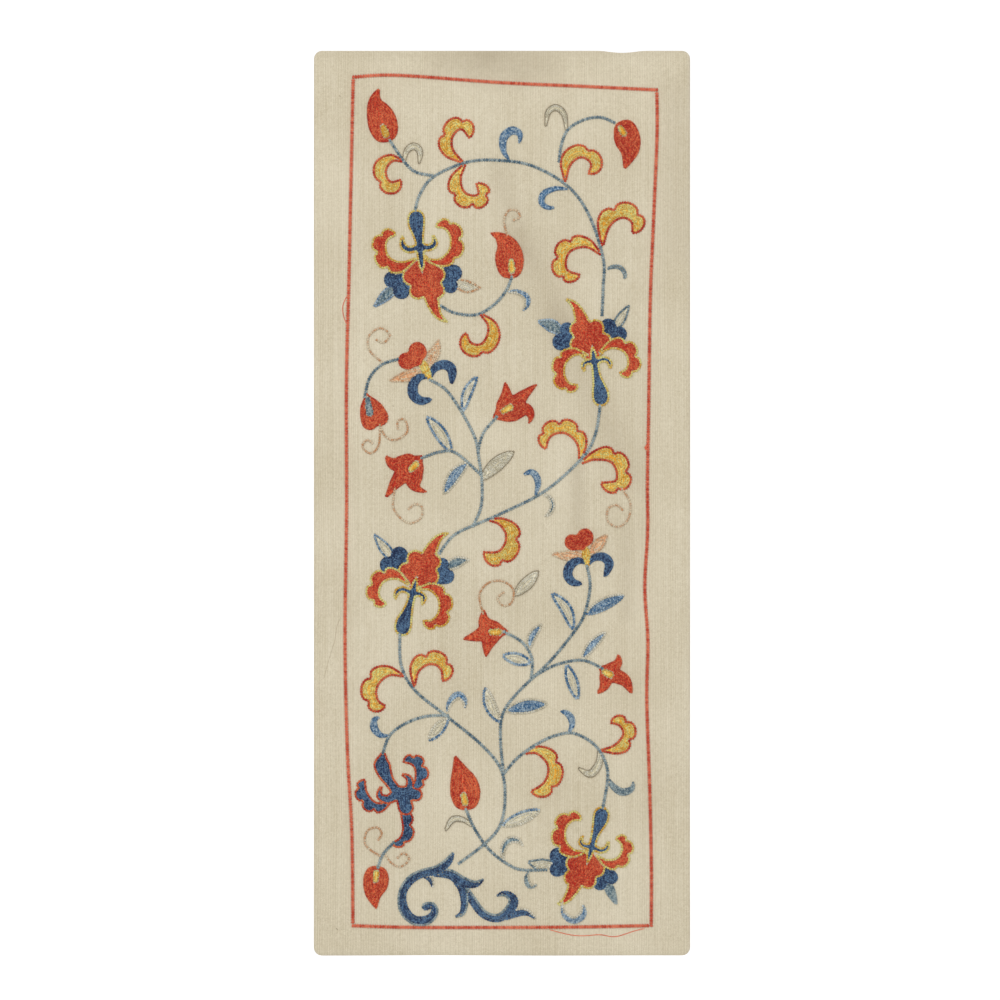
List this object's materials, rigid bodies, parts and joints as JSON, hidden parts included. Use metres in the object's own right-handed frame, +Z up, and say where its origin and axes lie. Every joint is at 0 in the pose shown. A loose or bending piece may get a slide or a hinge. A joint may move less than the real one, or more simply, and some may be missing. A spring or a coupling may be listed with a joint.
{
  "type": "embroidered wall hanging",
  "caption": "Narrow hemmed cotton wall hanging, worked in silk with a flowering vine of palmettes, tulips, buds and curled leaves inside a thin red line.",
  "frame": {"origin": "middle of the top edge, on the plane that the back of the top hem lies in", "axes": "+Z up along the hanging's length, -Y out of the embroidered face, +X to the right as one faces it"},
  "size_m": [0.1881, 0.0046, 0.452],
  "materials": {
    "cotton_ground": "plain undyed cotton with fine upright ribs, matte",
    "silk_red": "soft sheen of twisted floss silk",
    "silk_stem": "soft sheen of twisted floss silk",
    "silk_navy": "soft sheen of twisted floss silk",
    "silk_gold": "soft sheen of twisted floss silk",
    "silk_blue": "soft sheen of twisted floss silk",
    "silk_ivory": "soft sheen of twisted floss silk",
    "silk_peach": "soft sheen of twisted floss silk"
  },
  "bodies": {
    "root": {"ground_cloth": "cotton_ground", "border_line": "silk_red", "vine_1": "silk_stem", "vine_2": "silk_stem", "vine_3": "silk_stem", "vine_4": "silk_stem", "vine_5": "silk_stem", "vine_6": "silk_stem", "vine_7": "silk_stem", "vine_8": "silk_stem", "root_scroll": "silk_navy", "lone_crescent": "silk_navy", "blue_palmette": "silk_navy", "heart_bud": "silk_red", "palmette_1": "silk_red", "palmette_2": "silk_red", "palmette_3": "silk_red", "palmette_4": "silk_red", "blossom_1": "silk_red", "blossom_2": "silk_red", "tulip_1": "silk_red", "tulip_2": "silk_red", "tulip_3": "silk_red", "tulip_4": "silk_red", "bud_1": "silk_red", "bud_2": "silk_red", "bud_3": "silk_red", "bud_4": "silk_red", "bud_5": "silk_red", "cloud_leaf_1": "silk_gold", "cloud_leaf_2": "silk_gold", "cloud_leaf_3": "silk_gold", "cloud_leaf_4": "silk_gold", "cloud_leaf_5": "silk_gold", "cloud_leaf_6": "silk_gold", "cloud_leaf_7": "silk_gold", "cloud_leaf_8": "silk_gold", "cloud_leaf_9": "silk_gold", "cloud_leaf_10": "silk_gold", "cloud_leaf_11": "silk_gold", "cloud_leaf_12": "silk_gold", "cloud_leaf_13": "silk_gold", "cloud_leaf_14": "silk_gold"}
  },
  "joints": []
}
